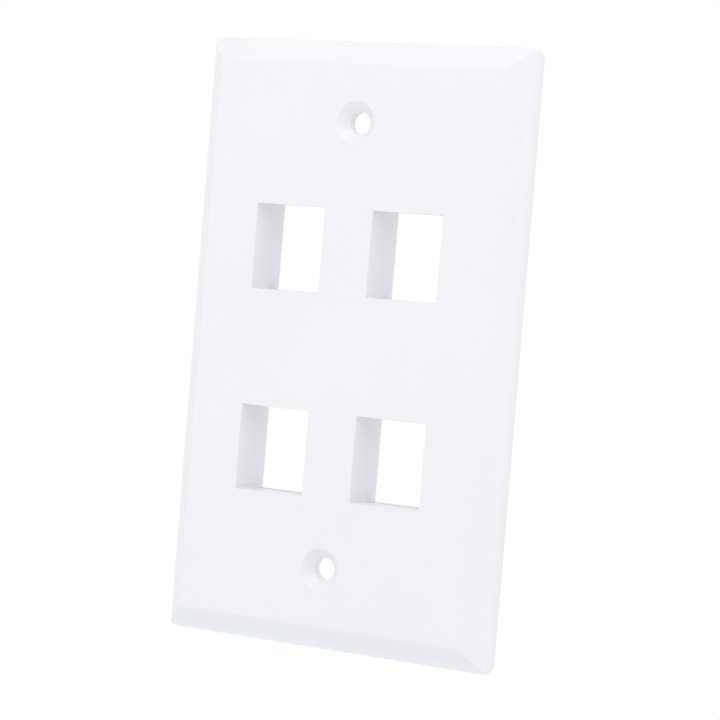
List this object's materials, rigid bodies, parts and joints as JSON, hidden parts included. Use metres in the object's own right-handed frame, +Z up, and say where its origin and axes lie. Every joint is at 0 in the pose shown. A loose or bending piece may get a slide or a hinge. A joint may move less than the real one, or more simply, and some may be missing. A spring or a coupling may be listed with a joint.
{
  "type": "keystone faceplate",
  "caption": "White moulded wall plate with rolled edges, countersunk screw holes and snap-in receptacles for keystone jacks.",
  "frame": {"origin": "centre of the plate's outline, in the plane that sits on the wall", "axes": "+Z up the wall along the plate's long side, X across the plate, the front faces -Y and +Y goes into the wall box"},
  "size_m": [0.0698, 0.0099, 0.1142],
  "materials": {
    "white_plastic": "satin moulded ABS, cool white"
  },
  "bodies": {
    "root": {"faceplate": "white_plastic"}
  },
  "joints": []
}
